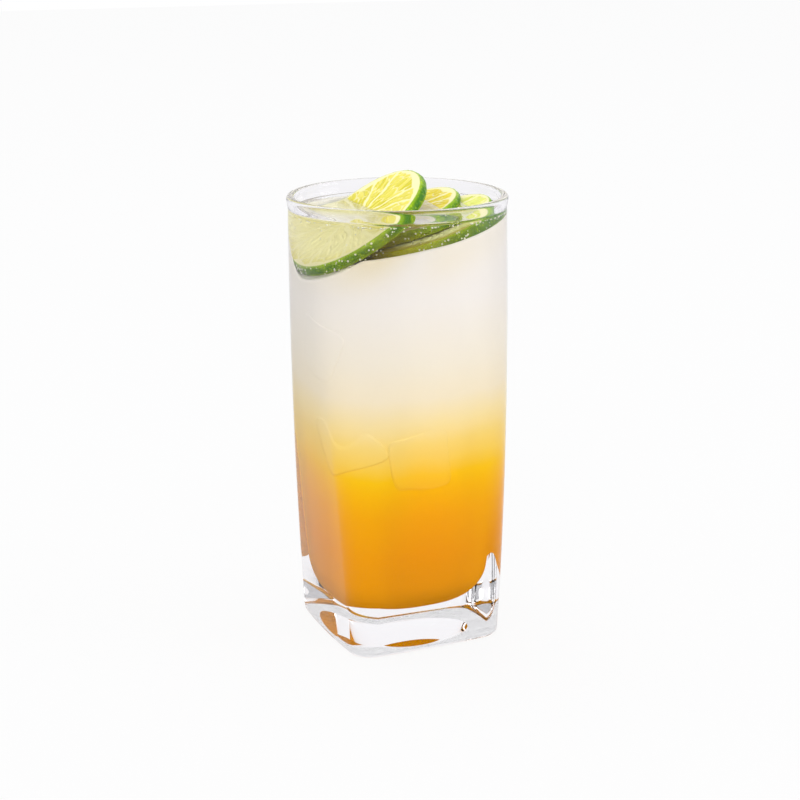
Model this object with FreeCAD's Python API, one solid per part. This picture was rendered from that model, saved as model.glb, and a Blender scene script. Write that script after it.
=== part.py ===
"""A highball glass of layered soda, with three wheels of lime floating in its mouth.

Millimetres, +Z up. The origin is the middle of the foot, on the surface that the glass
stands on, and the flat sides of the foot face X and Y.
"""
import FreeCAD, Part
import math
import os

# Tumbler: a square foot that turns into a round mouth
HEIGHT = 145.0
LIP_HEIGHT = 4.0            # the round lip, which stands on the pressed wall
MOUTH_RADIUS = 34.6         # outside, just below the lip
LIP_BEAD = 0.4              # how far the lip swells past the wall
FOOT_HALF = 27.2            # centre of the foot to the middle of a side
FOOT_CORNER = 8.0           # corner radius of the foot
FOOT_EDGE_ROUND = 1.6
SIDE_BOW = math.radians(4)  # half the turn of a side, which bows out a little
FLARE_POWER = 1.05          # how the half width grows from foot to mouth
ROUNDING_POWER = 1.7        # how the corners open out into a circle
PUNT_RADIUS = 19.0
PUNT_DEPTH = 1.0

# Cavity
WALL = 2.1                  # at the mouth
HEEL = 4.0                  # thickening of the wall towards the foot
HEEL_POWER = 4              # how fast that thickening fades upwards
FLOOR = 13.0                # thickness of glass under the drink
FLOOR_ROUND = 9.0
CAVITY_CORNER = 20.5        # corner radius at the floor

# Drink
HEADSPACE = 5.2             # lip down to the soda's surface
ORANGE_DEPTH = 49.0         # floor up to the top of the orange layer
FILM = 0.1                  # clearance of the drink in the glass and round the lime

# Lime wheels: radius and thickness of each, and how it leans
TOP_WHEEL_RADIUS = 23.3
TOP_WHEEL_THICKNESS = 3.6
TOP_WHEEL_TILT = 36.4
TOP_WHEEL_FACING = 178.4    # the compass direction that its upper face looks to
TOP_WHEEL_BEARING = 173.0   # the direction in which it has drifted to the wall
TOP_WHEEL_SPIN = 12.0

MIDDLE_WHEEL_RADIUS = 21.9
MIDDLE_WHEEL_THICKNESS = 3.2
MIDDLE_WHEEL_BEARING = 72.0
MIDDLE_WHEEL_SPIN = 31.0

BOTTOM_WHEEL_RADIUS = 21.5
BOTTOM_WHEEL_THICKNESS = 4.8
BOTTOM_WHEEL_BEARING = -20.0
BOTTOM_WHEEL_SPIN = 4.0
BOTTOM_WHEEL_DIP = 4.0      # soda's surface down to the middle of its upper face

STACK_TILT = 20.7           # the middle wheel lies flat on the bottom one
STACK_FACING = 170.3
SEAT_GAP = 0.3              # between wheels that rest on each other
WALL_GAP = 0.3              # between a wheel and the glass

# Cut of a wheel
RIND_BULGE = 0.5
RIND_WIDTH = 3.0            # peel and pith outside the segments
CORE_RADIUS = 1.8
SEGMENTS = 10
SEGMENT_DRIFT = 0.22        # unevenness of the segments, as a share of one
MEMBRANE = 0.55             # width between neighbouring segments
SEGMENT_SINK = 0.3          # how far the flesh sinks below the membranes
SEGMENT_CORNER = 1.1

# Derived sizes
LIP_BASE = HEIGHT - LIP_HEIGHT
BORE_RADIUS = MOUTH_RADIUS - WALL
LEVEL = HEIGHT - HEADSPACE
ORANGE_TOP = FLOOR + ORANGE_DEPTH

UP = FreeCAD.Vector(0, 0, 1)
BELOW = 10.0                # spare length of cutting tools
RIM_STEPS = 72              # directions in which a wheel is tested against the wall
LOFT_STEPS = 8


def grown(low, high, share, power):
    """A size that grows from low to high with a power of the height's share."""
    return low + (high - low) * share ** power


def bowed_square(half, corner, z):
    """A square outline of eight arcs: bowed sides and round corners, tangent where they meet.

    Every side turns by twice SIDE_BOW, so a circle is the case where half equals corner.
    """
    corner = min(corner, half)
    sine, cosine = math.sin(SIDE_BOW), math.cos(SIDE_BOW)
    side = (half - corner * (cosine - sine)) / (1 + sine - cosine)
    centre = (side - corner) * sine
    arcs = []
    for quarter in range(4):
        turn = quarter * math.pi / 2

        def at(x, y, radius, angle):
            px = x + radius * math.cos(angle)
            py = y + radius * math.sin(angle)
            return FreeCAD.Vector(px * math.cos(turn) - py * math.sin(turn),
                                  px * math.sin(turn) + py * math.cos(turn), z)

        bow = [at(half - side, 0, side, a) for a in (-SIDE_BOW, 0, SIDE_BOW)]
        bend = [at(centre, centre, corner, a)
                for a in (SIDE_BOW, math.pi / 4, math.pi / 2 - SIDE_BOW)]
        arcs += [Part.Arc(*bow).toShape(), Part.Arc(*bend).toShape()]
    return Part.Wire(arcs)


def lofted(outline, bottom, top):
    """A solid through outlines at evenly spaced heights."""
    heights = [bottom + (top - bottom) * i / LOFT_STEPS for i in range(LOFT_STEPS + 1)]
    return Part.makeLoft([outline(z) for z in heights], True, False)


def rounded_below(shape, z, radius):
    """The shape with the edges of its flat bottom, at height z, rounded."""
    edges = [e for e in shape.Edges
             if abs(e.BoundBox.ZMin - z) < 1e-3 and abs(e.BoundBox.ZMax - z) < 1e-3]
    return shape.makeFillet(radius, edges)


def outer_half(z):
    """Outside of the wall: axis to the middle of a side."""
    return grown(FOOT_HALF, MOUTH_RADIUS, z / LIP_BASE, FLARE_POWER)


def bore_half(z):
    """Inside of the wall: axis to the middle of a side."""
    return outer_half(z) - WALL - HEEL * (1 - z / LIP_BASE) ** HEEL_POWER


def outer_outline(z):
    return bowed_square(outer_half(z), grown(FOOT_CORNER, MOUTH_RADIUS, z / LIP_BASE, ROUNDING_POWER), z)


def cavity(film=0.0):
    """The space inside the wall, up to the lip, drawn in by a film all round."""

    def outline(z):
        share = (z - FLOOR) / (LIP_BASE - FLOOR)
        corner = grown(CAVITY_CORNER, BORE_RADIUS, max(share, 0), 2)
        return bowed_square(bore_half(z) - film, corner - film, z)

    floor = FLOOR + film
    return rounded_below(lofted(outline, floor, LIP_BASE), floor, FLOOR_ROUND - film)


def lip():
    """The fire-polished lip: a ring that swells out, with a fully rounded top."""
    outer = MOUTH_RADIUS + LIP_BEAD
    crown = (outer - BORE_RADIUS) / 2
    shoulder = HEIGHT - crown
    swell = (LIP_BASE + shoulder) / 2

    def point(radius, z):
        return FreeCAD.Vector(radius, 0, z)

    profile = [
        Part.LineSegment(point(BORE_RADIUS, LIP_BASE), point(MOUTH_RADIUS, LIP_BASE)),
        Part.Arc(point(MOUTH_RADIUS, LIP_BASE),
                 point(MOUTH_RADIUS + 0.7 * LIP_BEAD, swell),
                 point(outer, shoulder)),
        Part.Arc(point(outer, shoulder), point(BORE_RADIUS + crown, HEIGHT), point(BORE_RADIUS, shoulder)),
        Part.LineSegment(point(BORE_RADIUS, shoulder), point(BORE_RADIUS, LIP_BASE)),
    ]
    face = Part.Face(Part.Wire([p.toShape() for p in profile]))
    return face.revolve(FreeCAD.Vector(0, 0, 0), UP, 360)


def tumbler():
    """Pressed body with a heavy foot and a shallow punt, and the round lip on top."""
    body = rounded_below(lofted(outer_outline, 0, LIP_BASE), 0, FOOT_EDGE_ROUND)
    body = body.cut(cavity())
    dome = (PUNT_RADIUS ** 2 + PUNT_DEPTH ** 2) / (2 * PUNT_DEPTH)
    punt = Part.makeSphere(dome, FreeCAD.Vector(0, 0, PUNT_DEPTH - dome))
    return body.cut(punt).fuse(lip()).removeSplitter()


def wheel_blank(radius, thickness, film=0.0):
    """A slice of fruit before its segments are cut: a disc with a bulged edge, top face at z = 0."""
    edge = radius - RIND_BULGE + film
    low = -thickness - film

    def point(r, z):
        return FreeCAD.Vector(r, 0, z)

    profile = [
        Part.LineSegment(point(0, film), point(edge, film)),
        Part.Arc(point(edge, film), point(radius + film, (low + film) / 2), point(edge, low)),
        Part.LineSegment(point(edge, low), point(0, low)),
        Part.LineSegment(point(0, low), point(0, film)),
    ]
    face = Part.Face(Part.Wire([p.toShape() for p in profile]))
    return face.revolve(FreeCAD.Vector(0, 0, 0), UP, 360)


def segment_pocket(start, end, outer, z):
    """A wedge with rounded corners that sinks one segment between two membranes."""
    half = (end - start) / 2
    middle = (start + end) / 2
    side = MEMBRANE / 2

    def on_membrane(radius, sign):
        """A point at this radius, half a membrane inside the segment's straight side."""
        angle = middle + sign * (half - math.asin(side / radius))
        return FreeCAD.Vector(radius * math.cos(angle), radius * math.sin(angle), z)

    inner = CORE_RADIUS + side / math.sin(half)
    crown = FreeCAD.Vector(outer * math.cos(middle), outer * math.sin(middle), z)
    tip = FreeCAD.Vector(inner * math.cos(middle), inner * math.sin(middle), z)
    left, right = on_membrane(outer, 1), on_membrane(outer, -1)
    outline = Part.Wire([Part.LineSegment(tip, right).toShape(),
                         Part.Arc(right, crown, left).toShape(),
                         Part.LineSegment(left, tip).toShape()])
    wedge = Part.Face(outline).extrude(UP * SEGMENT_SINK)
    upright = [e for e in wedge.Edges if e.BoundBox.ZLength > SEGMENT_SINK / 2]
    return wedge.makeFillet(SEGMENT_CORNER, upright)


def lime_wheel(radius, thickness, spin):
    """A wheel of lime with its segments sunk a little into both cut faces."""
    bounds = [2 * math.pi * (i + SEGMENT_DRIFT * math.sin(2.4 * i + spin)) / SEGMENTS
              for i in range(SEGMENTS)]
    bounds.append(bounds[0] + 2 * math.pi)
    outer = radius - RIND_BULGE - RIND_WIDTH
    pockets = [segment_pocket(bounds[i], bounds[i + 1], outer, z)
               for i in range(SEGMENTS) for z in (-SEGMENT_SINK, -thickness)]
    return wheel_blank(radius, thickness).cut(pockets)


def facing(tilt, compass):
    """Unit vector of an upper face that leans by tilt towards a compass direction, in degrees."""
    tilt, compass = math.radians(tilt), math.radians(compass)
    return FreeCAD.Vector(math.sin(tilt) * math.cos(compass),
                          math.sin(tilt) * math.sin(compass), math.cos(tilt))


def drifted(radius, thickness, normal, bearing):
    """Where in plan a wheel's middle lies once it has drifted along a bearing to the wall."""
    deepest = LEVEL - radius * math.sqrt(1 - normal.z ** 2) - thickness
    reach = bore_half(deepest) - WALL_GAP
    across = normal.cross(FreeCAD.Vector(0, 1, 0)).normalize()
    along = normal.cross(across)
    angle = math.radians(bearing)
    way = FreeCAD.Vector(math.cos(angle), math.sin(angle), 0)
    travel = []
    for i in range(RIM_STEPS):
        turn = 2 * math.pi * i / RIM_STEPS
        rim = across * (radius * math.cos(turn)) + along * (radius * math.sin(turn))
        for point in (rim, rim - normal * thickness):
            forward = way.x * point.x + way.y * point.y
            outward = point.x ** 2 + point.y ** 2
            travel.append(math.sqrt(forward ** 2 - outward + reach ** 2) - forward)
    return way * min(travel)


def at_height(plan, normal, offset):
    """The point above plan whose distance along the normal is offset."""
    return FreeCAD.Vector(plan.x, plan.y, (offset - normal.x * plan.x - normal.y * plan.y) / normal.z)


def wheel_places():
    """Centre of the upper face, and normal, of the top, middle and bottom wheel."""
    flat = facing(STACK_TILT, STACK_FACING)
    bottom = drifted(BOTTOM_WHEEL_RADIUS, BOTTOM_WHEEL_THICKNESS, flat, BOTTOM_WHEEL_BEARING)
    bottom.z = LEVEL - BOTTOM_WHEEL_DIP
    plan = drifted(MIDDLE_WHEEL_RADIUS, MIDDLE_WHEEL_THICKNESS, flat, MIDDLE_WHEEL_BEARING)
    middle = at_height(plan, flat, flat.dot(bottom) + SEAT_GAP + MIDDLE_WHEEL_THICKNESS)
    steep = facing(TOP_WHEEL_TILT, TOP_WHEEL_FACING)
    plan = drifted(TOP_WHEEL_RADIUS, TOP_WHEEL_THICKNESS, steep, TOP_WHEEL_BEARING)
    towards = (steep - flat * steep.dot(flat)).normalize()
    hinge = middle + towards * MIDDLE_WHEEL_RADIUS
    top = at_height(plan, steep, steep.dot(hinge) + SEAT_GAP + TOP_WHEEL_THICKNESS)
    return (top, steep), (middle, flat), (bottom, flat)


def placed(shape, spin, centre, normal):
    """The shape turned about its own axis, then leant over and moved to its centre."""
    shape = shape.copy()
    shape.Placement = FreeCAD.Placement(centre, FreeCAD.Rotation(UP, normal)).multiply(
        FreeCAD.Placement(FreeCAD.Vector(0, 0, 0), FreeCAD.Rotation(UP, spin)))
    return shape


def slab(low, high):
    """A block wider than the glass between two heights."""
    wide = 4 * MOUTH_RADIUS
    return Part.makeBox(wide, wide, high - low, FreeCAD.Vector(-wide / 2, -wide / 2, low))


def build():
    wheels = {
        "lime_wheel_top": (TOP_WHEEL_RADIUS, TOP_WHEEL_THICKNESS, TOP_WHEEL_SPIN),
        "lime_wheel_middle": (MIDDLE_WHEEL_RADIUS, MIDDLE_WHEEL_THICKNESS, MIDDLE_WHEEL_SPIN),
        "lime_wheel_bottom": (BOTTOM_WHEEL_RADIUS, BOTTOM_WHEEL_THICKNESS, BOTTOM_WHEEL_SPIN),
    }
    drink = cavity(FILM)
    nodes = {"tumbler": tumbler(), "orange_layer": drink.common(slab(-BELOW, ORANGE_TOP))}
    soda = drink.common(slab(ORANGE_TOP, LEVEL))
    for (node, (radius, thickness, spin)), place in zip(wheels.items(), wheel_places()):
        soda = soda.cut(placed(wheel_blank(radius, thickness, FILM), spin, *place))
        nodes[node] = placed(lime_wheel(radius, thickness, spin), spin, *place)
        print(node, [round(v, 2) for v in place[0]])
    nodes["soda_layer"] = soda
    return nodes


os.makedirs("parts", exist_ok=True)
for name, solid in build().items():
    print(name, len(solid.Solids), solid.isValid(), round(solid.Volume / 1000, 2), "ml")
    solid.exportStep("parts/" + name + ".step")
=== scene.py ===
"""Looks of a highball glass of layered soda with three wheels of lime.

Metres, +Z up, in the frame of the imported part. Every new piece is a closed surface worked
out with numpy: rows of points that run round it, from one pole to the other.
"""

import math
from typing import NamedTuple

import bpy
import numpy as np
from bpy.props import FloatProperty, FloatVectorProperty, IntProperty, PointerProperty
from mathutils import Matrix, Vector


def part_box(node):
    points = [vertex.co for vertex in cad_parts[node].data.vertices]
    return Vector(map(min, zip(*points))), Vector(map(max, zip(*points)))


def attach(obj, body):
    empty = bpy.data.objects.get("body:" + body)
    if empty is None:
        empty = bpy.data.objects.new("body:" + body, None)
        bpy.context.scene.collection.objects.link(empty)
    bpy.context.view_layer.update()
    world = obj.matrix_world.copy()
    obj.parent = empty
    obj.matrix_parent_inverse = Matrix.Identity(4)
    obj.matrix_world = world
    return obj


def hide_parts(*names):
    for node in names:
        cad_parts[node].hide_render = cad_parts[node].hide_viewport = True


bl_info = {
    "name": "Layered soda in a highball glass",
    "version": (1, 0, 0),
    "blender": (4, 5, 0),
    "location": "View3D > Sidebar > Soda Glass",
    "description": "Builds the glass, its layered drink, lime wheels, ice and bubbles",
    "category": "Object",
}

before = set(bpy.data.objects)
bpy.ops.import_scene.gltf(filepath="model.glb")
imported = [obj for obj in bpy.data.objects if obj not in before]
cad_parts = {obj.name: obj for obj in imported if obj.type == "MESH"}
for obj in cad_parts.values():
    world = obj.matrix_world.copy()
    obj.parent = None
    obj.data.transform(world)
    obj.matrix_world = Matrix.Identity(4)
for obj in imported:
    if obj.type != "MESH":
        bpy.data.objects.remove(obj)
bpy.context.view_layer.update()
GLASS_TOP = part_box("tumbler")[1].z

MM = 0.001
FULL_TURN = 2 * math.pi


# ---- settings

def display(red, green, blue):
    """Linear colour of a display colour given as 0 to 255."""
    shares = [c / 255 for c in (red, green, blue)]
    return tuple(s / 12.92 if s <= 0.04045 else ((s + 0.055) / 1.055) ** 2.4 for s in shares)


def length(name, description, millimetres):
    return FloatProperty(name=name, description=description, default=millimetres * MM, unit="LENGTH")


def colour(name, description, *rgb):
    return FloatVectorProperty(name=name, description=description, default=display(*rgb),
                               size=3, min=0, max=1, subtype="COLOR")


def number(name, description, value):
    return FloatProperty(name=name, description=description, default=value)


def whole(name, description, value):
    return IntProperty(name=name, description=description, default=value)


def each(name, description, *values):
    return FloatVectorProperty(name=name, description=description, default=values, size=len(values))


def share(name, description, value):
    return FloatProperty(name=name, description=description, default=value, min=0, max=1, subtype="FACTOR")


def angle(name, description, degrees):
    return FloatProperty(name=name, description=description, default=math.radians(degrees), subtype="ANGLE")


class Look(NamedTuple):
    """How one wheel differs from the others."""

    spin: float         # degrees about its axis
    seed: int           # of its sacs and segments
    flesh: tuple
    flesh_light: tuple
    soak: float         # how green its sunk edge looks


WHEELS = {
    "lime_wheel_top": Look(12, 1, display(198, 188, 24), display(218, 208, 88), 0.0),
    # The middle wheel's flesh is more golden than the others'. This is painted shade where the top wheel
    # covers it, and painted light shining through the lime.
    "lime_wheel_middle": Look(31, 2, display(210, 190, 12), display(226, 210, 56), 0.0),
    "lime_wheel_bottom": Look(4, 3, display(194, 200, 62), display(214, 218, 112), 0.85),
}


class TumblerSettings(bpy.types.PropertyGroup):
    """Sizes of the glass, the same as in the part."""

    lip_height: length("Lip height", "Height of the round lip", 4)
    mouth_radius: length("Mouth radius", "Outside radius just below the lip", 34.6)
    lip_bead: length("Lip bead", "Swell of the lip past the wall", 0.4)
    foot_half: length("Foot half width", "Middle of the foot to a side", 27.2)
    foot_corner: length("Foot corner", "Corner radius of the foot", 8)
    foot_edge: length("Foot edge", "Rounding under the foot", 1.6)
    side_bow: angle("Side bow", "Half the turn of a bowed side", 4)
    flare_power: number("Flare", "Power of the height that widens the wall", 1.05)
    rounding_power: number("Rounding", "Power that opens the corners", 1.7)
    punt_radius: length("Punt radius", "Radius of the hollow under the foot", 19)
    punt_depth: length("Punt depth", "Depth of the hollow under the foot", 1)
    wall: length("Wall", "Wall at the mouth", 2.1)
    heel: length("Heel", "Thickening towards the foot", 4)
    heel_power: number("Heel fade", "How fast the heel fades upwards", 4)
    floor: length("Floor", "Thickness of glass under the drink", 13)
    floor_round: length("Floor rounding", "Radius between floor and wall inside", 9)
    cavity_corner: length("Cavity corner", "Corner radius of the cavity's floor", 20.5)
    index: number("Index", "Refraction of the glass", 1.5)
    tint: colour("Glass", "Colour of the glass", 248, 247, 250)
    gloss: share("Gloss", "Share of its plain reflection", 0.2)


class DrinkSettings(bpy.types.PropertyGroup):
    """Levels and colours of the drink."""

    bite: length("Bite", "Reach of the cloud into the wall", 0.25)
    clear_bite: length("Clear bite", "Reach of clear drink into the wall", 0.12)
    clear_depth: length("Clear depth", "Depth at which clear drink starts", 30)
    clear_gloss: share("Clear gloss", "Share of its plain reflection", 0.6)
    skin: length("Skin", "Clear drink over the cloud", 1.0)
    sunk: length("Sunk", "Clear gap under each wheel", 0.2)
    clearing: length("Clearing", "Clear width round each wheel", 0.3)
    climb: share("Climb", "Rise of the cloud for each step past it", 0.5)
    climb_behind: number("Climb behind", "The same, towards +Y", 4)
    juice_reach: length("Juice", "Reach of the juice from a wheel", 6.5)
    juice_bearing: angle("Juice bearing", "Direction in which the wheels cross", -110)
    juice_spread: angle("Juice spread", "Reach of the juice round the glass", 27)
    juice_behind: share("Juice behind", "Juice tint beside the lime all round", 0.08)
    juice_before: share("Juice before", "Added where the wheels cross", 0.82)
    juice: colour("Juice tint", "Cloud that lime juice tints", 232, 204, 66)
    meniscus: length("Meniscus", "Rise of the surface at glass and lime", 1.0)
    swing: length("Swing", "Rise and fall of the layers", 2.2)
    index: number("Index", "Refraction of the drink", 1.333)
    orange_deep: colour("Deep orange", "Drink at the floor", 226, 146, 2)
    orange: colour("Orange", "Drink in the middle of the orange layer", 238, 157, 2)
    amber: colour("Amber", "Drink high in the orange layer", 244, 172, 2)
    saffron: colour("Saffron", "Drink near the top of the orange layer", 248, 188, 2)
    yolk: colour("Yolk", "Drink at the top of the orange layer", 249, 200, 12)
    gold: colour("Gold", "Drink just above the orange layer", 248, 210, 84)
    straw: colour("Straw", "Drink in the blend", 247, 218, 122)
    butter: colour("Butter", "Drink high in the blend", 246, 227, 168)
    cream: colour("Cream", "Drink at the top of the blend", 243, 232, 205)
    cloud_low: colour("Warm cloud", "Pale soda over the blend", 241, 234, 217)
    cloud: colour("Cloud", "Pale soda", 240, 236, 230)


class SunkenSettings(bpy.types.PropertyGroup):
    """Ice and bubbles in the drink."""

    ice_turns: each("Ice bearings", "Bearing of each cube in degrees", -101, -145, 196, 20, 95)
    ice_heights: each("Ice heights", "Middle of each cube in millimetres", 66, 71, 100, 96, 76)
    ice_sizes: each("Ice sizes", "Side of each cube in millimetres", 20, 21, 20, 24, 22)
    ice_leans: each("Ice leans", "Tip of each, top outwards, in radians", 0.15, -0.12, 0.15, -0.1, 0.15)
    ice_slants: each("Ice slants", "Turn of each on the wall in radians", 0.12, 0.5, -0.3, 0.4, 0.2)
    ice_press: share("Ice press", "Middle of a cube to the wall, in half sides", 0.8)
    ice_white: share("Ice white", "How much whiter ice is than the drink", 0.02)
    ice_bite: length("Ice bite", "Reach of ice into the wall", 0.28)
    bubble_least: length("Least bubble", "Radius of the smallest bubble", 0.14)
    bubble_most: length("Largest bubble", "Radius of the largest bubble", 0.36)
    bubble_index: number("Bubble index", "Refraction of air in the drink", 0.75)
    bubbles_on_skin: whole("On skin", "Bubbles tried on each wheel", 130)
    bubbles_at_edge: whole("At the edge", "Bubbles tried round the surface", 170)
    bubbles_adrift: whole("Adrift", "Bubbles tried in the clear soda", 130)
    bubble_seed: whole("Seed", "Start of the random draws", 4)


class LimeSettings(bpy.types.PropertyGroup):
    """Cut and colours of the lime wheels."""

    rind: length("Rind", "Green skin on the cut face", 0.8)
    bevel: length("Bevel", "Rounding between cut face and rind", 0.35)
    bulge: length("Bulge", "How far the rind swells", 0.5)
    pore: length("Pore", "Depth of the pores in the rind", 0.12)
    pith: length("Pith", "White between skin and flesh", 1.7)
    core: length("Core", "Radius of the white middle", 1.5)
    membrane: length("Membrane", "Width between segments", 0.55)
    sink: length("Sink", "Depth of flesh below membranes", 0.3)
    swell: length("Swell", "Height of a juice sac", 0.28)
    segments: whole("Segments", "Segments in a wheel", 10)
    drift: share("Drift", "Unevenness of the segments", 0.22)
    veil_most: share("Thickest veil", "Most that the drink can veil", 0.85)
    veil_length: length("Veil", "Depth of drink that veils the cut face", 9)
    skin_veil_length: length("Skin veil", "Depth of drink that veils the rind", 21)
    skin_dark: colour("Skin", "Green rind", 58, 112, 2)
    skin_light: colour("Skin flecks", "Light flecks in the rind", 158, 190, 22)
    pith_colour: colour("Pith", "White of the lime", 230, 223, 166)
    veil: colour("Veil", "Drink in front of cut lime", 255, 252, 214)
    veil_skin: colour("Veil on skin", "Drink in front of rind", 178, 164, 22)


class StageSettings(bpy.types.PropertyGroup):
    """Camera, lamps and floor."""

    bearing: angle("Bearing", "Camera's turn round the glass", -23.7)
    elevation: angle("Elevation", "Camera's angle above the horizon", 16.36)
    distance: length("Distance", "Camera to the middle of the glass", 554.8)
    roll: angle("Roll", "Lean of the camera", -0.29)
    lens: number("Lens", "Focal length in millimetres", 76.3)
    shift: number("Shift", "Upward shift of the picture", 0.0171)
    slide: number("Slide", "Sideways shift of the picture", 0.002)
    floor: colour("Floor", "Colour of the floor", 198, 198, 200)
    glow: share("Glow", "White of the floor as a background", 0.9)
    gleam: share("Gleam", "Share of it in reflections", 0.1)
    sky: number("Sky", "Strength of the light all round", 1.2)


# ---- meshes

def smooth(low, high, value):
    """0 below low, 1 above high, and 3t^2 - 2t^3 between."""
    t = np.clip((value - low) / (high - low), 0, 1)
    return t * t * (3 - 2 * t)


def closed(rows):
    """Points and faces of a closed surface from rows of points that run round it.

    The first and last row are poles. Rows that climb while their points run
    counterclockwise give faces that look outwards.
    """
    count = rows.shape[1]
    points = np.concatenate([rows[0, :1], rows[1:-1].reshape(-1, 3), rows[-1, :1]])
    ring = 1 + np.arange((len(rows) - 2) * count).reshape(-1, count)
    ahead = np.roll(ring, -1, axis=1)
    quads = np.stack([ring[:-1], ahead[:-1], ahead[1:], ring[1:]], -1).reshape(-1, 4)
    first = np.stack([ahead[0], ring[0], np.zeros(count, int)], -1)
    last = np.stack([ring[-1], ahead[-1], np.full(count, len(points) - 1)], -1)
    return points, quads.tolist() + first.tolist() + last.tolist()


def per_point(values):
    """Values on the rows of a closed surface, in the order of its points."""
    return np.concatenate([values[0, :1], values[1:-1].ravel(), values[-1, :1]])


def placed(name, data):
    """An object made of some data, linked to the scene."""
    made = bpy.data.objects.new(name, data)
    bpy.context.scene.collection.objects.link(made)
    return made


def add_piece(name, points, faces, material, replaces=(), attributes=None):
    """A smooth mesh piece that rides on the part, with its float attributes."""
    mesh = bpy.data.meshes.new(name)
    mesh.from_pydata(points.tolist(), [], faces)
    mesh.polygons.foreach_set("use_smooth", np.ones(len(mesh.polygons), bool))
    for key, values in (attributes or {}).items():
        kind, field = ("FLOAT_VECTOR", "vector") if np.ndim(values) > 1 else ("FLOAT", "value")
        made = mesh.attributes.new(key, kind, "POINT")
        made.data.foreach_set(field, np.asarray(values, np.float32).ravel())
    mesh.update()
    piece = placed(name, mesh)
    piece.data.materials.append(material)
    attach(piece, "root")
    if replaces:
        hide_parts(*replaces)
    return piece


# ---- shader expressions

def arithmetic(operation, swapped=False):
    """A method that adds a Math node, with its two sides swapped for a reflected operator."""
    def apply(self, other):
        sides = (other, self) if swapped else (self, other)
        return self.nodes.add("ShaderNodeMath", {"operation": operation}, dict(enumerate(sides)))
    return apply


class Field:
    """A shader socket that takes part in Python arithmetic."""

    def __init__(self, nodes, socket):
        self.nodes, self.socket = nodes, socket

    __add__ = __radd__ = arithmetic("ADD")
    __sub__ = arithmetic("SUBTRACT")
    __rsub__ = arithmetic("SUBTRACT", swapped=True)
    __mul__ = __rmul__ = arithmetic("MULTIPLY")
    __truediv__ = arithmetic("DIVIDE")
    __rtruediv__ = arithmetic("DIVIDE", swapped=True)
    __pow__ = arithmetic("POWER")
    __rpow__ = arithmetic("POWER", swapped=True)
    least = arithmetic("MINIMUM")
    most = arithmetic("MAXIMUM")

    def step(self, low, high):
        """0 at low and 1 at high, with a smooth rise between."""
        return self.nodes.add("ShaderNodeMapRange", {"interpolation_type": "SMOOTHSTEP"},
                              {"Value": self, "From Min": low, "From Max": high})


class Nodes:
    """A node tree while its nodes are laid."""

    def __init__(self, tree):
        self.tree = tree
        tree.nodes.clear()

    def add(self, kind, settings=None, inputs=None, output=0):
        """A node of a kind: its settings come first, then values or links for its inputs."""
        node = self.tree.nodes.new(kind)
        for key, value in (settings or {}).items():
            setattr(node, key, value)
        for key, value in (inputs or {}).items():
            target = self.pick(node.inputs, key)
            if isinstance(value, Field):
                self.tree.links.new(value.socket, target)
            elif hasattr(target.default_value, "__len__") and len(target.default_value) == 4:
                target.default_value = (*value[:3], 1)
            else:
                target.default_value = value
        return Field(self, self.pick(node.outputs, output))

    @staticmethod
    def pick(sockets, key):
        if isinstance(key, int):
            return sockets[key]
        return next(s for s in sockets if s.enabled and s.name == key)

    def shut(self, kind, surface):
        """The output node of a kind, fed by a surface."""
        output = self.tree.nodes.new(kind)
        self.tree.links.new(surface.socket, output.inputs["Surface"])

    def ray(self, kind):
        """1 for rays of a kind and 0 for others."""
        return self.add("ShaderNodeLightPath", output=f"Is {kind} Ray")


class Finish(Nodes):
    """A material while its nodes are laid."""

    def __init__(self, name):
        self.material = bpy.data.materials.new(name)
        self.material.use_nodes = True
        super().__init__(self.material.node_tree)

    def mix(self, factor, low, high):
        """Colour that goes from low to high as the factor goes from 0 to 1."""
        return self.add("ShaderNodeMix", {"data_type": "RGBA"}, {"Factor": factor, "A": low, "B": high},
                        "Result")

    def stretched(self, vector, factors):
        return self.add("ShaderNodeVectorMath", {"operation": "MULTIPLY"}, {0: vector, 1: factors})

    def place(self):
        """Object coordinates in millimetres."""
        return self.stretched(self.add("ShaderNodeTexCoord", output="Object"), (1 / MM,) * 3)

    def parts(self, vector):
        node = self.tree.nodes.new("ShaderNodeSeparateXYZ")
        self.tree.links.new(vector.socket, node.inputs[0])
        return [Field(self, s) for s in node.outputs]

    def attribute(self, name, output="Fac"):
        return self.add("ShaderNodeAttribute", {"attribute_name": name}, {}, output)

    def noise(self, vector, scale, detail=2.0):
        return self.add("ShaderNodeTexNoise", {}, {"Vector": vector, "Scale": scale, "Detail": detail})

    def ramp(self, factor, stops):
        """A colour ramp with (place, colour) stops."""
        node = self.tree.nodes.new("ShaderNodeValToRGB")
        elements = node.color_ramp.elements
        while len(elements) < len(stops):
            elements.new(0.5)
        for element, (place, rgb) in zip(elements, sorted(stops, key=lambda stop: stop[0])):
            element.position = place
            element.color = (*rgb, 1)
        self.tree.links.new(factor.socket, node.inputs[0])
        return Field(self, node.outputs[0])

    def bump(self, height, distance, strength):
        return self.add("ShaderNodeBump", {}, {"Height": height, "Distance": distance,
                                               "Strength": strength})

    def principled(self, **inputs):
        named = {key.replace("_", " ").title().replace("Ior", "IOR"): value
                 for key, value in inputs.items()}
        return self.add("ShaderNodeBsdfPrincipled", {}, named)

    def done(self, surface):
        self.shut("ShaderNodeOutputMaterial", surface)
        return self.material


def clear_finish(name, tint, index, shade, gloss):
    """A clear body that bends light, and lets the lamps through to what is inside."""
    finish = Finish(name)
    body = finish.principled(base_color=tint, roughness=0.0, ior=index, transmission_weight=1.0,
                             specular_tint=(gloss,) * 3)
    through = finish.add("ShaderNodeBsdfTransparent", {}, {"Color": shade})
    return finish.done(finish.add("ShaderNodeMixShader", {},
                                  {0: finish.ray("Shadow"), 1: body, 2: through}))


# ---- glass

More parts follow.
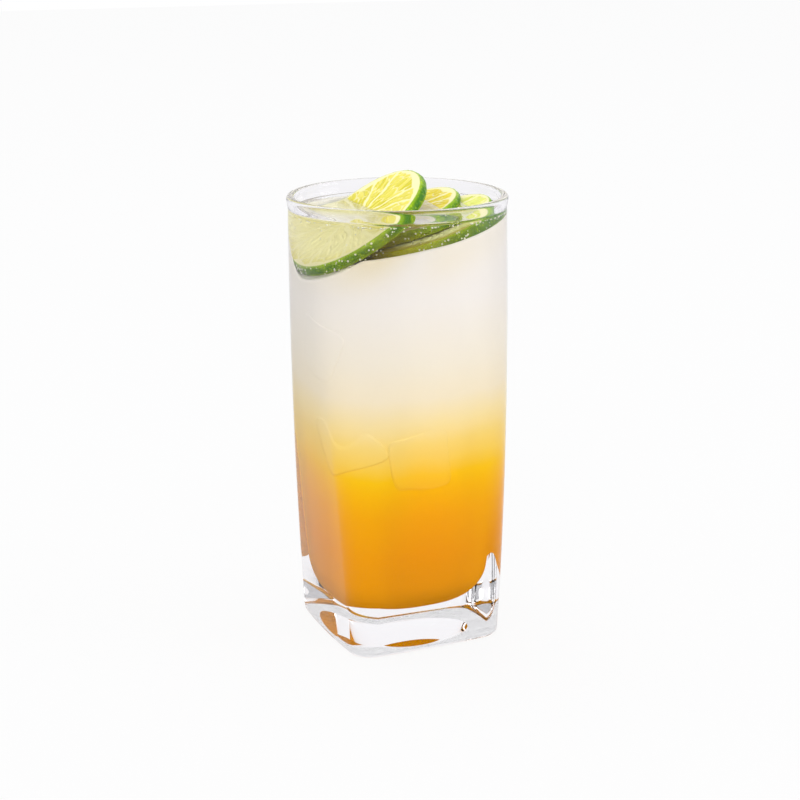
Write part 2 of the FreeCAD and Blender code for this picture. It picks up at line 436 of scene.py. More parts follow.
class Outline:
    """Outlines of the glass: squares with bowed sides and round corners that open into a circle."""

    SIDE_POINTS = 14
    CORNER_POINTS = 50

    def __init__(self, tumbler):
        self.t = tumbler
        self.height = GLASS_TOP
        self.lip_base = self.height - tumbler.lip_height
        bow = tumbler.side_bow
        side = np.linspace(-bow, bow, self.SIDE_POINTS, endpoint=False)
        corner = np.linspace(bow, math.pi / 2 - bow, self.CORNER_POINTS, endpoint=False)
        quarter = np.concatenate([side, corner])
        self.on_side = np.tile(np.arange(len(quarter)) < self.SIDE_POINTS, 4)
        self.turn = np.repeat(np.arange(4) * math.pi / 2, len(quarter))
        self.normal = np.tile(quarter, 4)
        self.count = 4 * len(quarter)

    def points(self, half, corner, z):
        """Rows of points, one for each half width, corner radius and height.

        A value with a second axis gives each direction its own. An outline is eight tangent
        arcs. A point stands at its arc's centre plus the arc's radius along its normal: a side's
        arc is centred on the axis of its side, and a corner's on the diagonal.
        """
        half, corner, z = (v.reshape(len(v), -1) for v in (half, corner, z))
        corner = np.minimum(corner, half)
        sine, cosine = math.sin(self.t.side_bow), math.cos(self.t.side_bow)
        side = (half - corner * (cosine - sine)) / (1 + sine - cosine)
        middle = (side - corner) * sine
        radius = np.where(self.on_side, side, corner)
        x = np.where(self.on_side, half - side, middle) + radius * np.cos(self.normal)
        y = np.where(self.on_side, 0, middle) + radius * np.sin(self.normal)
        cosine, sine = np.cos(self.turn), np.sin(self.turn)
        return np.stack([x * cosine - y * sine, x * sine + y * cosine, z + 0 * x], -1)

    def outer(self, z):
        """Half width and corner radius outside, at heights up to the lip."""
        t, rise = self.t, np.clip(z / self.lip_base, 0, 1)
        half = t.foot_half + (t.mouth_radius - t.foot_half) * rise ** t.flare_power
        corner = t.foot_corner + (t.mouth_radius - t.foot_corner) * rise ** t.rounding_power
        return half, corner

    def inner(self, z):
        """Half width and corner radius of the cavity."""
        t, rise = self.t, np.clip(z / self.lip_base, 0, 1)
        half = self.outer(z)[0] - t.wall - t.heel * (1 - rise) ** t.heel_power
        bore = t.mouth_radius - t.wall
        depth = np.clip((z - t.floor) / (self.lip_base - t.floor), 0, 1)
        return half, t.cavity_corner + (bore - t.cavity_corner) * depth ** 2

    def cavity(self, z, grow=0.0):
        """Rows on the cavity's wall and rounded floor, grown by a bite into the glass."""
        t = self.t
        half, corner = self.inner(z)
        rise = np.clip(z - t.floor, 0, t.floor_round)
        inset = t.floor_round - np.sqrt(t.floor_round ** 2 - (t.floor_round - rise) ** 2)
        return self.points(half - inset + grow, corner - inset + grow, z)


GLASS_SHADE = (0.99, 0.99, 0.99)    # what glass leaves of the light that reaches the drink


def glass_rows(outline):
    """One path from the middle of the foot out, up the wall, over the lip and down to the floor.

    The wall follows the outlines. The foot's edge is a quarter round, drawn as an inset
    that grows as the root of the height. The lip is a half circle on a swelling arc.
    """
    t = outline.t
    half, corner = outline.outer(np.zeros(1))
    foot = outline.points(half - t.foot_edge, corner - t.foot_edge, np.zeros(1))[0]
    across = foot[:, :2] / np.linalg.norm(foot[:, :2], axis=1, keepdims=True)
    ring = np.concatenate([across * t.punt_radius, np.zeros((outline.count, 1))], 1)
    out = np.linspace(0, 1, 12)[:, None, None]
    land = ring + (foot - ring) * out
    reach = np.linspace(0, 1, 14)[:-1]
    punt = np.stack([np.outer(reach, ring[:, 0]), np.outer(reach, ring[:, 1]),
                     np.outer(t.punt_depth * (1 - reach ** 2), np.ones(outline.count))], -1)

    bend = np.linspace(0, math.pi / 2, 14)[1:]
    z = t.foot_edge * (1 - np.cos(bend))
    half, corner = outline.outer(z)
    inset = t.foot_edge * (1 - np.sin(bend))
    edge = outline.points(half - inset, corner - inset, z)

    z = np.linspace(t.foot_edge, outline.lip_base, 84)[1:]
    wall = outline.points(*outline.outer(z), z)

    bore = t.mouth_radius - t.wall
    brim = t.mouth_radius + t.lip_bead
    crown = (brim - bore) / 2
    shoulder = outline.height - crown
    z = np.linspace(outline.lip_base, shoulder, 9)[1:]
    climb = (z - outline.lip_base) / (shoulder - outline.lip_base)
    radius = t.mouth_radius + t.lip_bead * np.sin(climb * math.pi / 2)
    swell = outline.points(radius, radius, z)
    over = np.linspace(0, math.pi, 22)[1:]
    radius = bore + crown + crown * np.cos(over)
    lip = outline.points(radius, radius, shoulder + crown * np.sin(over))

    z = np.linspace(shoulder, outline.lip_base, 5)[1:]
    throat = outline.points(np.full(4, bore), np.full(4, bore), z)
    z = np.linspace(outline.lip_base, t.floor + t.floor_round, 60)[1:]
    inside = outline.cavity(z)
    bend = np.linspace(0, math.pi / 2, 18)[1:]
    bowl = outline.cavity(t.floor + t.floor_round * (1 - np.sin(bend)))
    pool = bowl[-1] * np.linspace(1, 0, 12)[1:, None, None]
    pool[..., 2] = t.floor
    return np.concatenate([punt, land, edge, wall, swell, lip, throat, inside, bowl, pool])


def make_tumbler(settings):
    outline = Outline(settings)
    points, faces = closed(glass_rows(outline))
    material = clear_finish("clear_glass", settings.tint, settings.index, GLASS_SHADE, settings.gloss)
    return add_piece("glass_tumbler", points, faces, material, ["tumbler"])


# ---- lime wheels in space

def read(items, key, width=1):
    """A float property of a mesh's items, one row for each."""
    values = np.zeros(width * len(items), np.float32)
    items.foreach_get(key, values)
    return values.reshape(-1, width).astype(float)


class Wheel:
    """Where a lime wheel lies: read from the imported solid, whose flat faces give its axis."""

    def __init__(self, node):
        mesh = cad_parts[node].data
        points, normals = read(mesh.vertices, "co", 3), read(mesh.polygons, "normal", 3)
        spread = (normals * read(mesh.polygons, "area")).T @ normals
        axis = np.linalg.eigh(spread)[1][:, 2]
        self.axis = axis * np.sign(axis[2])
        turn = Vector((0, 0, 1)).rotation_difference(Vector(self.axis)).to_matrix()
        self.turn = np.array(turn)
        local = points @ self.turn
        low, high = local.min(0), local.max(0)
        self.radius = (high[:2] - low[:2]).mean() / 2
        self.thickness = high[2] - low[2]
        middle = (low + high) / 2
        self.centre = self.turn @ np.array([middle[0], middle[1], high[2]])

    def local(self, points):
        """Points in the wheel's own frame, whose origin is the middle of its upper face."""
        return (points - self.centre) @ self.turn

    def world(self, points):
        return points @ self.turn.T + self.centre

    def underside(self, x, y, gap):
        """Height of the plane under the wheel, a gap below it, above points in plan."""
        along = self.axis @ self.centre - self.thickness - gap
        return (along - self.axis[0] * x - self.axis[1] * y) / self.axis[2]

    def away(self, points):
        """Distance from points to the wheel, taken as a plain disc."""
        local = self.local(points)
        ring = np.hypot(local[..., 0], local[..., 1]) - self.radius
        slab = np.abs(local[..., 2] + self.thickness / 2) - self.thickness / 2
        outside = np.hypot(np.maximum(ring, 0), np.maximum(slab, 0))
        return outside + np.minimum(np.maximum(ring, slab), 0)


# ---- drink

class Drink:
    """Heights of the cloud and of the clear surface over it."""

    def __init__(self, settings, outline, wheels):
        self.s, self.outline, self.wheels = settings, outline, wheels
        self.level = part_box("soda_layer")[1].z
        self.bore = outline.t.mouth_radius - outline.t.wall

    def cloud_height(self, x, y):
        """Top of the cloudy drink: just under the surface, and sunk below each wheel's underside.

        Past a wheel's rim its underside goes on, and climbs by a share of the way from the rim,
        which is steeper towards +Y.
        """
        top = np.full(np.shape(x), self.level - self.s.skin)
        behind = smooth(0, 0.5, y / (np.hypot(x, y) + MM))
        climb = self.s.climb + (self.s.climb_behind - self.s.climb) * behind
        for wheel in self.wheels:
            under = wheel.underside(x, y, self.s.sunk)
            local = wheel.local(np.stack([x, y, under], -1))
            past = np.hypot(local[..., 0], local[..., 1]) - wheel.radius - self.s.clearing
            top = np.minimum(top, under + climb * np.maximum(past, 0))
        return top

    def meniscus(self, x, y, wall_gap):
        """Rise of the surface: it falls off as an exponential away from glass and lime."""
        rise = self.s.meniscus * np.exp(-np.maximum(wall_gap, 0) / (1.1 * MM))
        for wheel in self.wheels:
            away = np.maximum(wheel.away(np.stack([x, y, np.full(np.shape(x), self.level)], -1)), 0)
            rise = np.maximum(rise, 0.7 * self.s.meniscus * np.exp(-away / (0.9 * MM)))
        return rise


HAIR = 1e-7                 # metres above the floor, where its rounding starts


def floor_rows(outline, grow):
    """Rows from the middle of the cavity's floor out and up its rounding."""
    t = outline.t
    bend = np.linspace(0, math.pi / 2, 16)[1:]
    bowl = outline.cavity(t.floor + t.floor_round * (1 - np.cos(bend)), grow)
    bowl[..., 2] -= grow * (1 - np.sin(bend))[:, None]
    lowest = outline.cavity(np.array([t.floor + HAIR]), grow)[0]
    pool = lowest * np.linspace(0, 1, 8)[:, None, None]
    pool[..., 2] = t.floor - grow
    return np.concatenate([pool, bowl])


def cloud_rows(drink):
    """The cloudy drink: the cavity up to a rim that follows the cloud's height, then its top.

    The wall's rows are shared out between the rounded floor and the rim of each direction.
    The top runs from the rim to the axis in plan, at the cloud's height.
    """
    outline, bite = drink.outline, drink.s.bite
    start = outline.t.floor + outline.t.floor_round
    brim = outline.cavity(np.array([drink.level]), bite)[0]
    rise = drink.cloud_height(brim[:, 0], brim[:, 1]) - start
    wall = outline.cavity(start + np.linspace(0, 1, 92)[1:, None] * rise, bite)
    inwards = np.linspace(1, 0, 72)[1:, None]
    x, y = wall[-1, :, 0] * inwards, wall[-1, :, 1] * inwards
    top = np.stack([x, y, drink.cloud_height(x, y)], -1)
    return np.concatenate([floor_rows(outline, bite), wall, top])


# Height in millimetres at which each colour of the drink is reached.
LAYERS = {"orange_deep": 13, "orange": 34, "amber": 48, "saffron": 56, "yolk": 61, "gold": 66,
          "straw": 72, "butter": 79, "cream": 87, "cloud_low": 98, "cloud": 118}
LAYER_SLOPE = 0.035         # fall of the layers towards -X and -Y
SWIRL = 2.4                 # millimetres between their highest and lowest in fine swirls
ICE_COLOUR = (1.0, 1.0, 0.98)


def drink_finish(name, drink, whiter=0.0):
    """Layers by height, which wave round the glass, with faint clouds and juice in them."""
    s = drink.s
    finish = Finish(name)
    place = finish.place()
    x, y, z = finish.parts(place)
    wave = finish.noise(finish.stretched(place, (1, 1, 0.3)), 0.035)
    swirl = finish.noise(finish.stretched(place, (1, 1, 0.5)), 0.1, 3.0)
    level = z + (wave - 0.5) * (s.swing / MM * 2) + (swirl - 0.5) * SWIRL - (x + y) * LAYER_SLOPE
    top = drink.level / MM
    stops = [(height / top, getattr(s, key)) for key, height in LAYERS.items()]
    tone = finish.mix(finish.attribute("juice"), finish.ramp(level / top, stops), s.juice)
    if whiter:
        tone = finish.mix(whiter, tone, ICE_COLOUR)
    body = finish.principled(base_color=tone, roughness=0.6, ior=1.34, specular_ior_level=0.0)
    return finish.done(body)


def juice_share(drink, points):
    """How much of the juice tint a point takes.

    It falls off as a bell away from the lime, and as another bell round the glass from the place
    where the wheels cross.
    """
    s = drink.s
    away = np.min([wheel.away(points) for wheel in drink.wheels], axis=0)
    turn = np.arctan2(points[..., 1], points[..., 0]) - s.juice_bearing
    turn = (turn + math.pi) % FULL_TURN - math.pi
    near = np.exp(-(np.maximum(away - 1 * MM, 0) / s.juice_reach) ** 2)
    return near * (s.juice_behind + s.juice_before * np.exp(-(turn / s.juice_spread) ** 2))


def make_drink(drink):
    points, faces = closed(cloud_rows(drink))
    return add_piece("layered_drink", points, faces, drink_finish("layered_drink", drink),
                     ["orange_layer", "soda_layer"], {"juice": juice_share(drink, points)})


SODA_TINT = (0.985, 0.99, 0.985)
SODA_SHADE = (0.99, 0.99, 0.985)    # what clear soda leaves of the light that reaches the lime


def make_clear_soda(drink):
    """The clear drink round the lime: the cavity from inside the cloud up to the meniscus."""
    outline, grow = drink.outline, drink.s.clear_bite
    low = drink.level - drink.s.clear_depth
    z = np.linspace(low, drink.level + drink.s.meniscus, 60)
    wall = outline.cavity(z, grow)
    inwards = 1 - np.linspace(0, 1, 110)[1:, None] ** 1.5
    x, y = wall[-1][:, 0] * inwards, wall[-1][:, 1] * inwards
    gap = np.hypot(wall[-1][:, 0], wall[-1][:, 1]) - grow - np.hypot(x, y)
    top = np.stack([x, y, drink.level + drink.meniscus(x, y, gap)], -1)
    under = wall[0] * np.linspace(0, 1, 6)[:-1, None, None]
    under[..., 2] = low
    points, faces = closed(np.concatenate([under, wall, top]))
    material = clear_finish("clear_soda", SODA_TINT, drink.s.index, SODA_SHADE, drink.s.clear_gloss)
    return add_piece("clear_soda", points, faces, material)


# ---- ice and bubbles

def inside_wall(outline, points, bite):
    """Points pulled in to the cavity's wall, let in by a bite.

    The distance to a square with round corners is that to its corner's centre, less the radius.
    """
    half, corner = outline.inner(points[:, 2])
    corner = np.minimum(corner, half)
    past = np.abs(points[:, :2]) - (half - corner)[:, None]
    reach = np.linalg.norm(np.maximum(past, 0), axis=1)
    out = np.maximum(reach + np.minimum(past.max(1), 0) - corner - bite, 0)
    way = np.maximum(past, 0) / np.maximum(reach, 1e-9)[:, None] * np.sign(points[:, :2])
    held = points.copy()
    held[:, :2] -= way * out[:, None]
    return held


def globe(rows, count):
    """The unit sphere: rows from its lower pole up, whose points run counterclockwise."""
    polar, turn = np.meshgrid(np.linspace(0, math.pi, rows), np.linspace(0, FULL_TURN, count, False),
                              indexing="ij")
    return round_axis(np.sin(polar), turn, -np.cos(polar))


def round_axis(reach, turn, z):
    """Points by their distance from the axis, their bearing and their height."""
    return np.stack([reach * np.cos(turn), reach * np.sin(turn), z], -1)


def copied(faces, points_each, count):
    """Faces of one shape, for each of its copies in turn."""
    return [[points_each * i + corner for corner in face] for i in range(count) for face in faces]


def ice_points(half, lean, power=7):
    """A worn cube of ice: |x|^p + |y|^p + |z|^p = half^p, whose faces dent and swell a little."""
    way = globe(70, 120)
    dent = 1 + 0.025 * np.sin(5 * way[..., 0] + 3 * way[..., 1]) * np.cos(4 * way[..., 2])
    reach = half * dent / (np.abs(way) ** power).sum(-1) ** (1 / power)
    return way * reach[..., None] @ np.array(lean).T


def make_ice(settings, drink):
    """Cubes that lie against the glass, each shown only where it meets the wall."""
    rows = zip(settings.ice_turns, settings.ice_heights, settings.ice_sizes, settings.ice_leans,
               settings.ice_slants)
    cubes = []
    for turn, height, size, tip, slant in rows:
        turn, height, half = math.radians(turn), height * MM, size * MM / 2
        reach = drink.outline.inner(height)[0] - settings.ice_press * half
        lean = (Matrix.Rotation(turn, 3, "Z") @ Matrix.Rotation(slant, 3, "X")
                @ Matrix.Rotation(tip, 3, "Y"))
        points, faces = closed(ice_points(half, lean))
        cubes.append(inside_wall(drink.outline, points + round_axis(reach, turn, height),
                                 settings.ice_bite))
    points = np.concatenate(cubes)
    return add_piece("ice_cubes", points, copied(faces, len(cubes[0]), len(cubes)),
                     drink_finish("ice", drink, settings.ice_white), (),
                     {"juice": juice_share(drink, points)})


def bubble_places(settings, drink, draw):
    """Middles and radii of bubbles: on each wheel's skin, under the surface's edge, and adrift."""
    least, most = settings.bubble_least, settings.bubble_most
    found = []
    count = settings.bubbles_on_skin
    for wheel in drink.wheels:
        turn, radius = draw.uniform(0, FULL_TURN, count), draw.uniform(least, most, count)
        depth = wheel.thickness * draw.uniform(-0.1, 1.1, count)
        found.append((wheel.world(round_axis(wheel.radius + radius * 0.7, turn, -depth)), radius))
    count = settings.bubbles_at_edge
    turn = draw.uniform(0, FULL_TURN, count) + 0.35 * draw.standard_normal(count)
    radius = draw.uniform(least, most, count)
    reach = drink.bore - radius * draw.uniform(1.1, 4.0, count)
    found.append((round_axis(reach, turn, drink.level - radius * 1.15), radius))
    count = settings.bubbles_adrift
    radius = draw.uniform(least, most, count) * 0.8
    reach = drink.bore * draw.uniform(0, 1, count) ** 0.4 - 1 * MM
    turn, depth = draw.uniform(0, FULL_TURN, count), draw.uniform(1, 16, count) * MM
    found.append((round_axis(reach, turn, drink.level - depth), radius))
    middles, radii = zip(*found)
    return np.concatenate(middles), np.concatenate(radii)


def make_bubbles(settings, drink):
    """Small spheres of air in the clear soda, where neither lime, glass nor cloud is in the way."""
    middles, radii = bubble_places(settings, drink, np.random.default_rng(settings.bubble_seed))
    free = np.hypot(middles[:, 0], middles[:, 1]) + radii < drink.bore - 0.1 * MM
    free &= middles[:, 2] + radii < drink.level
    free &= middles[:, 2] - radii > drink.cloud_height(middles[:, 0], middles[:, 1])
    for wheel in drink.wheels:
        free &= wheel.away(middles) > radii * 0.45
    middles, radii = middles[free], radii[free]
    ball, quads = closed(globe(7, 9))
    points = (middles[:, None] + radii[:, None, None] * ball).reshape(-1, 3)
    return add_piece("bubbles", points, copied(quads, len(ball), len(middles)),
                     bubble_finish(settings))


def bubble_finish(settings):
    """Air in soda: it bends light the other way, and a pale yellow matt share over most of it, more in
    patches, is a painted highlight.
    """
    finish = Finish("bubbles")
    air = finish.principled(base_color=(1.0, 1.0, 1.0), roughness=0.0, ior=settings.bubble_index,
                            transmission_weight=1.0)
    # A pale yellow matt share, most of each bubble, is a painted highlight: it makes each bubble a bright
    # dot.
    painted_glint = finish.principled(base_color=(1.0, 0.98, 0.78), roughness=0.2)
    glint_share = finish.noise(finish.place(), 1.5, 1.0).step(0.4, 0.7) * 0.35 + 0.6
    return finish.done(finish.add("ShaderNodeMixShader", {}, {0: glint_share, 1: air, 2: painted_glint}))


# ---- lime

def hashed(*keys):
    """A repeatable number from 0 to 1 for each set of whole numbers."""
    mixed = sum(key * factor for key, factor in zip(keys, (127.1, 311.7, 74.7)))
    return np.modf(np.abs(np.sin(mixed) * 43758.5453))[0]


def sacs(across, along, seed):
    """Juice sacs as jittered cells: distance to the nearest and second nearest, and its tone."""
    column, row = np.floor(across), np.floor(along)
    nearest = np.full(np.shape(across), 9.0)
    second = nearest.copy()
    tone = nearest.copy()
    for step in range(9):
        i, j = column + step % 3 - 1, row + step // 3 - 1
        dx = i + 0.15 + 0.7 * hashed(i, j, seed) - across
        dy = j + 0.15 + 0.7 * hashed(i, j, seed + 5) - along
        distance = np.hypot(dx, dy)
        second = np.where(distance < nearest, nearest, np.minimum(second, distance))
        tone = np.where(distance < nearest, hashed(i, j, seed + 9), tone)
        nearest = np.minimum(nearest, distance)
    return nearest, second, tone


def rolling(x, y, seed):
    """Smooth noise from -1 to 1: hashed values at whole steps, joined by 3t^2 - 2t^3."""
    column, row = np.floor(x), np.floor(y)
    u, v = smooth(0, 1, x - column), smooth(0, 1, y - row)
    corner = [[hashed(column + i, row + j, seed) for j in (0, 1)] for i in (0, 1)]
    near = corner[0][0] + (corner[1][0] - corner[0][0]) * u
    far = corner[0][1] + (corner[1][1] - corner[0][1]) * u
    return 2 * (near + (far - near) * v) - 1


# How far, at what size and from which seed the cut's pattern wanders, in millimetres.
WANDERS = ((1.1, 6.0, 0), (0.35, 1.7, 2))
SAC_ACROSS = 4.6            # sacs across a segment
SAC_LENGTH = 5.2 * MM


class Cut:
    """The cut face of a wheel: where its segments, sacs, pith and rind are, by radius and turn."""

    def __init__(self, lime, wheel, seed):
        self.lime, self.wheel, self.seed = lime, wheel, seed
        count = lime.segments
        i = np.arange(count)
        self.bounds = FULL_TURN * (i + lime.drift * np.sin(2.4 * i + seed)) / count
        self.flesh_radius = wheel.radius - lime.rind - lime.pith

    def fields(self, radius, turn):
        lime = self.lime
        x, y = radius * np.cos(turn) / MM, radius * np.sin(turn) / MM
        x = x + sum(far * rolling(x / size, y / size, self.seed + step) for far, size, step in WANDERS)
        y = y + sum(far * rolling(x / size, y / size, self.seed + step + 1) for far, size, step in WANDERS)
        rim = radius
        radius, turn = np.hypot(x, y) * MM, np.arctan2(y, x)
        bounds = np.sort(np.mod(self.bounds, FULL_TURN))
        edges = np.concatenate([[bounds[-1] - FULL_TURN], bounds, [bounds[0] + FULL_TURN]])
        turn = np.mod(turn, FULL_TURN)
        segment = np.searchsorted(edges, turn, side="right") - 1
        low, high = edges[segment], edges[segment + 1]
        wide = lime.membrane * (0.6 + 0.8 * hashed(segment, self.seed))
        side = radius * np.sin(np.minimum(np.minimum(turn - low, high - turn), 1.2)) - wide / 2
        wobble = 0.5 * MM * np.sin(5 * turn + self.seed) + 0.3 * MM * np.sin(13 * turn)
        crown = self.flesh_radius + wobble - radius
        inside = np.minimum(np.minimum(side, crown), radius - lime.core)
        flesh = smooth(0, 0.5 * MM, inside)
        across = (turn - low) / (high - low) * SAC_ACROSS
        along = radius / SAC_LENGTH + 0.5 * np.abs(across - SAC_ACROSS / 2)
        nearest, second, tone = sacs(across, along, segment * 3.0 + self.seed)
        dome = flesh * smooth(0.0, 0.32, second - nearest)
        rind = smooth(-0.25 * MM, 0.1 * MM, rim - (self.wheel.radius - lime.rind))
        return flesh, dome, tone, rind


FACE_ROWS = 76
EDGE_ROWS = 4
RIND_ROWS = 11


def wheel_rows(cut, count=400):
    """The wheel's surface in its own frame: face, round edge, bulged rind, edge and underside.

    Radius and height follow one profile. On both faces the flesh sinks between the
    membranes and each juice sac swells again by its own dome.
    """
    lime, radius, thickness = cut.lime, cut.wheel.radius, cut.wheel.thickness
    flat = radius - lime.bulge - lime.bevel
    bend = np.linspace(0, math.pi / 2, EDGE_ROWS + 1)[1:]
    side = np.linspace(-1, 1, RIND_ROWS + 2)[1:-1]
    face = np.linspace(0, flat, FACE_ROWS)
    edge_r, edge_z = flat + lime.bevel * np.sin(bend), lime.bevel * (np.cos(bend) - 1)
    profile_r = np.concatenate([face, edge_r, radius - lime.bulge * side ** 2, edge_r[::-1], face[::-1]])
    profile_z = np.concatenate([0 * face, edge_z, -thickness / 2 - side * (thickness / 2 - lime.bevel),
                                -thickness - edge_z[::-1], 0 * face - thickness])
    r, turn = np.meshgrid(profile_r, np.linspace(0, FULL_TURN, count, endpoint=False), indexing="ij")
    z = np.repeat(profile_z[:, None], count, 1)
    flesh, dome, tone, rind = cut.fields(r, turn)
    relief = (lime.swell * dome - lime.sink * flesh) * (0.75 + 0.5 * tone)
    pores = lime.pore * rolling(turn * radius / (0.9 * MM), z / (0.8 * MM), cut.seed)
    r[FACE_ROWS:-FACE_ROWS] += pores[FACE_ROWS:-FACE_ROWS]
    z[:FACE_ROWS] += relief[:FACE_ROWS]
    z[-FACE_ROWS:] -= relief[-FACE_ROWS:]
    z += 0.12 * MM * np.sin(3 * turn + cut.seed) * (r / radius) ** 2
    points = round_axis(r, turn, z)
    return points[::-1], [v[::-1] for v in (flesh, dome, tone, rind)]


def lime_finish(name, lime, drink, wheel, look):
    """Cut lime: sacs, membranes and pith by the cut's attributes, veiled by the drink's depth.

    The skin is dark, with light flecks at its pores and along both cut edges. Lengths in the
    nodes are millimetres.
    """
    finish = Finish(name)
    x, y, z = finish.parts(finish.place())
    own = finish.attribute("local", "Vector")
    across, along, up = finish.parts(own)
    below = up * -1.0
    mask, dome, tone, rind = [finish.attribute(key) for key in ("flesh", "dome", "tone", "rind")]
    pith, green = lime.pith_colour, lime.veil_skin

    fibres = finish.noise(own, 1.3, 3.0)
    juice = finish.mix((tone * 0.7 + fibres * 0.5).step(0.3, 0.85), look.flesh, look.flesh_light)
    thread = finish.mix((dome + fibres * 0.5).step(0.15, 0.75), pith, juice)
    cut = finish.mix(mask, pith, thread)

    pores = finish.add("ShaderNodeTexVoronoi", {}, {"Vector": own, "Scale": 1.0}, "Distance")
    brim = 1 - below.least(wheel.thickness / MM - below).step(0.1, 1.3)
    patches = finish.noise(own, 0.22).step(0.4, 0.75)
    fleck = pores.step(0.42, 0.1) * 0.7 + brim * 0.55 + patches * 0.35
    skin = finish.mix(fleck.least(1.0), lime.skin_dark, lime.skin_light)

    edge = wheel.radius / MM - (across * across + along * along) ** 0.5
    wall = drink.bore / MM - (x * x + y * y) ** 0.5
    under = drink.level / MM - z
    soaked = edge.step(6.0, 3.0) * under.step(0.0, 2.0) * look.soak
    bare = finish.mix(rind, finish.mix(soaked, cut, green), skin)
    depth = wall.most(0).least(under.most(0) * 2.0)
    skin_length = lime.skin_veil_length / MM
    face_length = lime.veil_length / MM
    reach = rind * (skin_length - face_length) + face_length
    # The veil takes part of each wheel's flesh colour, so the middle wheel's painted shade and painted
    # light reach its veil too.
    milky = tuple(0.6 * veil + 0.4 * flesh for veil, flesh in zip(lime.veil, look.flesh))
    haze = finish.mix((rind + soaked).least(1.0), milky, green)
    tint = finish.mix((depth / reach).step(0.0, 1.0) * lime.veil_most, bare, haze)
    bump = finish.bump(pores * rind + fibres * 0.4, 0.2 * MM, 0.7)
    body = finish.principled(base_color=tint, roughness=0.35, ior=1.36, specular_ior_level=0.25,
                             normal=bump)
    return finish.done(body)


def make_wheel(node, look, lime, drink):
    wheel = Wheel(node)
    rows, fields = wheel_rows(Cut(lime, wheel, look.seed))
    points, faces = closed(rows)
    turned = Matrix.Rotation(math.radians(look.spin), 3, "Z")
    attributes = {key: per_point(v) for key, v in zip(("flesh", "dome", "tone", "rind"), fields)}
    attributes["local"] = points / MM
    return add_piece("cut_" + node, wheel.world(points @ np.array(turned).T), faces,
                     lime_finish("lime_" + node, lime, drink, wheel, look), [node], attributes)


# ---- stage

def add_camera(stage, aim):
    """A camera that looks at the aim from its bearing and elevation, leant by its roll."""
    data = bpy.data.cameras.new("camera")
    data.lens, data.sensor_width = stage.lens, 36
    data.shift_x, data.shift_y = stage.slide, stage.shift
    data.clip_start, data.clip_end = 0.02, 20
    b, e = stage.bearing, stage.elevation
    back = np.array([math.sin(b) * math.cos(e), -math.cos(b) * math.cos(e), math.sin(e)])
    level = np.array([math.cos(b), math.sin(b), 0])
    upright = np.cross(back, level)
    cosine, sine = math.cos(stage.roll), math.sin(stage.roll)
    right, up = level * cosine + upright * sine, upright * cosine - level * sine
    turn = Matrix(np.stack([right, up, back], 1).tolist()).to_4x4()
    camera = placed("camera", data)
    camera.matrix_world = Matrix.Translation(aim + Vector(back) * stage.distance) @ turn
    bpy.context.scene.camera = camera


def add_lamp(name, place, aim, size, power):
    data = bpy.data.lights.new(name, "AREA")
    data.shape, data.size, data.size_y, data.energy = "RECTANGLE", size[0], size[1], power
    lamp = placed(name, data)
    lamp.location = place
    lamp.rotation_euler = (Vector(place) - aim).to_track_quat("Z", "Y").to_euler()


def floor_finish(stage):
    """A pale matt floor that glows nearly white where it is seen, and takes shadows under that."""
    finish = Finish("floor")
    grain = finish.noise(finish.place(), 0.02)
    paint = finish.mix(grain * 0.03, stage.floor, (0.9, 0.9, 0.9))
    body = finish.add("ShaderNodeBsdfDiffuse", {}, {"Color": paint})
    glow = finish.add("ShaderNodeEmission", {}, {"Color": (1, 1, 1), "Strength": 1.0})
    white = finish.ray("Camera") + finish.ray("Glossy") * stage.gleam + finish.ray("Transmission")
    share_white = white.least(1.0) * stage.glow
    return finish.done(finish.add("ShaderNodeMixShader", {}, {0: share_white, 1: body, 2: glow}))


def add_floor(stage):
    reach = 4.0
    mesh = bpy.data.meshes.new("floor")
    mesh.from_pydata([(-reach, -reach, 0), (reach, -reach, 0), (reach, reach, 0), (-reach, reach, 0)],
                     [], [(0, 1, 2, 3)])
    floor = placed("floor", mesh)
    mesh.materials.append(floor_finish(stage))


def add_world(stage):
    """White where it is seen, and plain soft light elsewhere."""
    world = bpy.data.worlds.new("studio")
    world.use_nodes = True
    sky = Nodes(world.node_tree)
    seen = sky.ray("Camera").most(sky.ray("Glossy").most(sky.ray("Transmission")))
    light, white = [sky.add("ShaderNodeBackground", {}, {"Color": (1, 1, 1), "Strength": strength})
                    for strength in (stage.sky, 1.0)]
    sky.shut("ShaderNodeOutputWorld", sky.add("ShaderNodeMixShader", {}, {0: seen, 1: light, 2: white}))
    bpy.context.scene.world = world


# Place, width and height in metres, and watts of each lamp.
LAMPS = {
    "key": ((-1.3, -1.8, 1.1), (1.6, 1.2), 18),
    "side": ((1.7, -0.9, 0.9), (1.0, 1.0), 10),
    "top": ((-0.3, 0.8, 2.0), (1.2, 1.2), 6),
}


def make_stage(stage):
    aim = Vector((0, 0, GLASS_TOP / 2))
    add_floor(stage)
    add_world(stage)
    for name, (place, size, power) in LAMPS.items():
        add_lamp(name, place, aim, size, power)
    add_camera(stage, aim)
    bpy.context.scene.view_settings.view_transform = "Standard"


# ---- operators

def shared_drink(scene):
    return Drink(scene.soda_drink, Outline(scene.soda_tumbler), [Wheel(node) for node in WHEELS])


class SODA_OT_tumbler(bpy.types.Operator):
    """Make the square-footed glass tumbler"""

    bl_idname = "soda.tumbler"
    bl_label = "Glass Tumbler"

    def execute(self, context):
        make_tumbler(context.scene.soda_tumbler)
        return {"FINISHED"}


class SODA_OT_drink(bpy.types.Operator):
    """Fill the glass with the layered, cloudy drink"""

    bl_idname = "soda.drink"
    bl_label = "Layered Drink"

    def execute(self, context):
        make_drink(shared_drink(context.scene))
        return {"FINISHED"}


class SODA_OT_clear(bpy.types.Operator):
    """Add the clear soda round the lime, up to the surface"""

    bl_idname = "soda.clear"
    bl_label = "Clear Soda"

    def execute(self, context):
        make_clear_soda(shared_drink(context.scene))
        return {"FINISHED"}


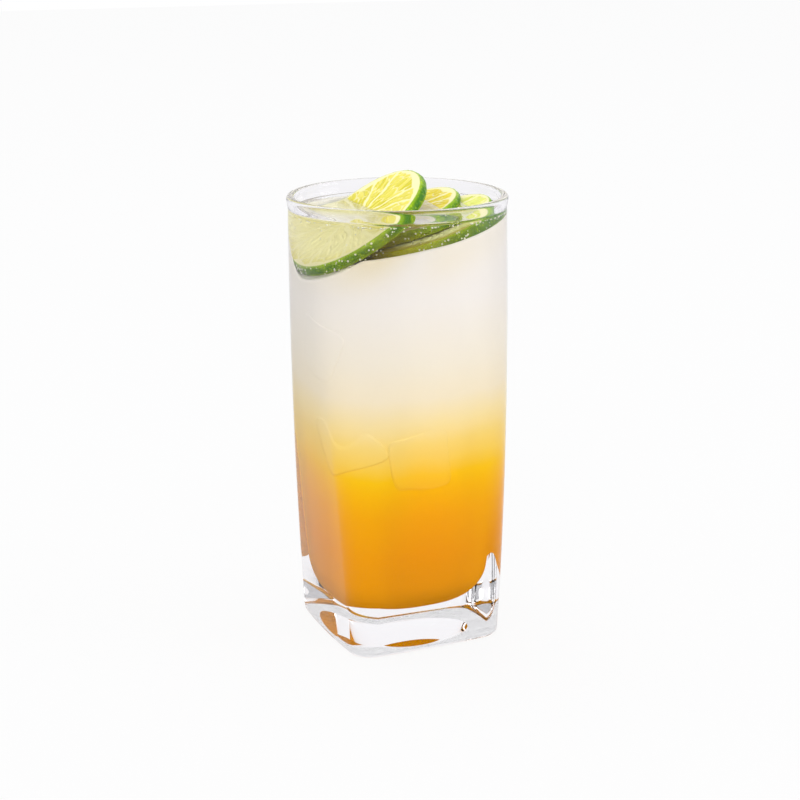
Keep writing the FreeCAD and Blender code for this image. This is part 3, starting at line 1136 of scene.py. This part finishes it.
class SODA_OT_ice(bpy.types.Operator):
    """Sink the ice cubes in the drink"""

    bl_idname = "soda.ice"
    bl_label = "Ice Cubes"

    def execute(self, context):
        make_ice(context.scene.soda_sunken, shared_drink(context.scene))
        return {"FINISHED"}


class SODA_OT_bubbles(bpy.types.Operator):
    """Scatter bubbles in the clear soda"""

    bl_idname = "soda.bubbles"
    bl_label = "Bubbles"

    def execute(self, context):
        make_bubbles(context.scene.soda_sunken, shared_drink(context.scene))
        return {"FINISHED"}


class SODA_OT_lime(bpy.types.Operator):
    """Cut and float the three lime wheels"""

    bl_idname = "soda.lime"
    bl_label = "Lime Wheels"

    def execute(self, context):
        lime, drink = context.scene.soda_lime, shared_drink(context.scene)
        for node, look in WHEELS.items():
            make_wheel(node, look, lime, drink)
        return {"FINISHED"}


class SODA_OT_stage(bpy.types.Operator):
    """Set the floor, soft light and camera"""

    bl_idname = "soda.stage"
    bl_label = "Stage"

    def execute(self, context):
        make_stage(context.scene.soda_stage)
        return {"FINISHED"}


class SODA_PT_panel(bpy.types.Panel):
    """Sidebar with a button for each group of pieces"""

    bl_label = "Soda Glass"
    bl_idname = "SODA_PT_panel"
    bl_space_type = "VIEW_3D"
    bl_region_type = "UI"
    bl_category = "Soda Glass"

    def draw(self, context):
        for operator in OPERATORS:
            self.layout.operator(operator.bl_idname)


GROUPS = {"soda_tumbler": TumblerSettings, "soda_drink": DrinkSettings,
          "soda_sunken": SunkenSettings, "soda_lime": LimeSettings, "soda_stage": StageSettings}
OPERATORS = (SODA_OT_tumbler, SODA_OT_drink, SODA_OT_clear, SODA_OT_ice, SODA_OT_bubbles,
             SODA_OT_lime, SODA_OT_stage)
CLASSES = (*GROUPS.values(), *OPERATORS, SODA_PT_panel)


def register():
    for kind in CLASSES:
        bpy.utils.register_class(kind)
    for name, group in GROUPS.items():
        setattr(bpy.types.Scene, name, PointerProperty(type=group))


def unregister():
    for name in GROUPS:
        delattr(bpy.types.Scene, name)
    for kind in reversed(CLASSES):
        bpy.utils.unregister_class(kind)


def main():
    register()
    bpy.ops.soda.tumbler()
    bpy.ops.soda.drink()
    bpy.ops.soda.clear()
    bpy.ops.soda.ice()
    bpy.ops.soda.bubbles()
    bpy.ops.soda.lime()
    bpy.ops.soda.stage()


if __name__ == "__main__":
    main()
